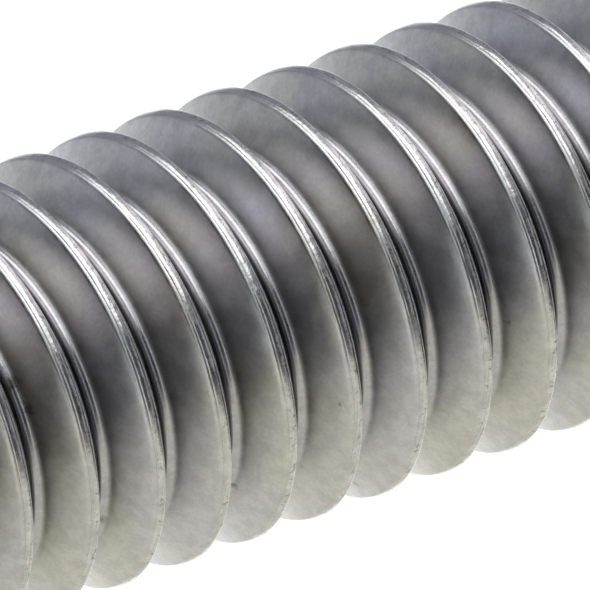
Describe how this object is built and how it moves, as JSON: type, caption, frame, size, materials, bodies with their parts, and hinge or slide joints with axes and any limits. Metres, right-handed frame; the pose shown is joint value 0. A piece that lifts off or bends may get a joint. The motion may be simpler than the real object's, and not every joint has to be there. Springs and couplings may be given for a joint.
{
  "type": "exhaust stud",
  "caption": "Double-ended steel stud with a rolled coarse right-hand thread at each end, a short plain shank between them and chamfered flat tips; it holds an exhaust flange to a cylinder head.",
  "frame": {"origin": "centre of the flat face on the tip that screws into the cylinder head, on which the stud stands", "axes": "+Z runs along the stud's axis from the head end to the nut end; X and Y lie across it, and the right-hand thread rises as it turns from +X to +Y"},
  "size_m": [0.0078, 0.0078, 0.0444],
  "materials": {
    "rolled_steel": "plain steel, rolled threads with a satin sheen, light handling scratches along the crests"
  },
  "bodies": {
    "root": {"stud": "rolled_steel"}
  },
  "joints": []
}
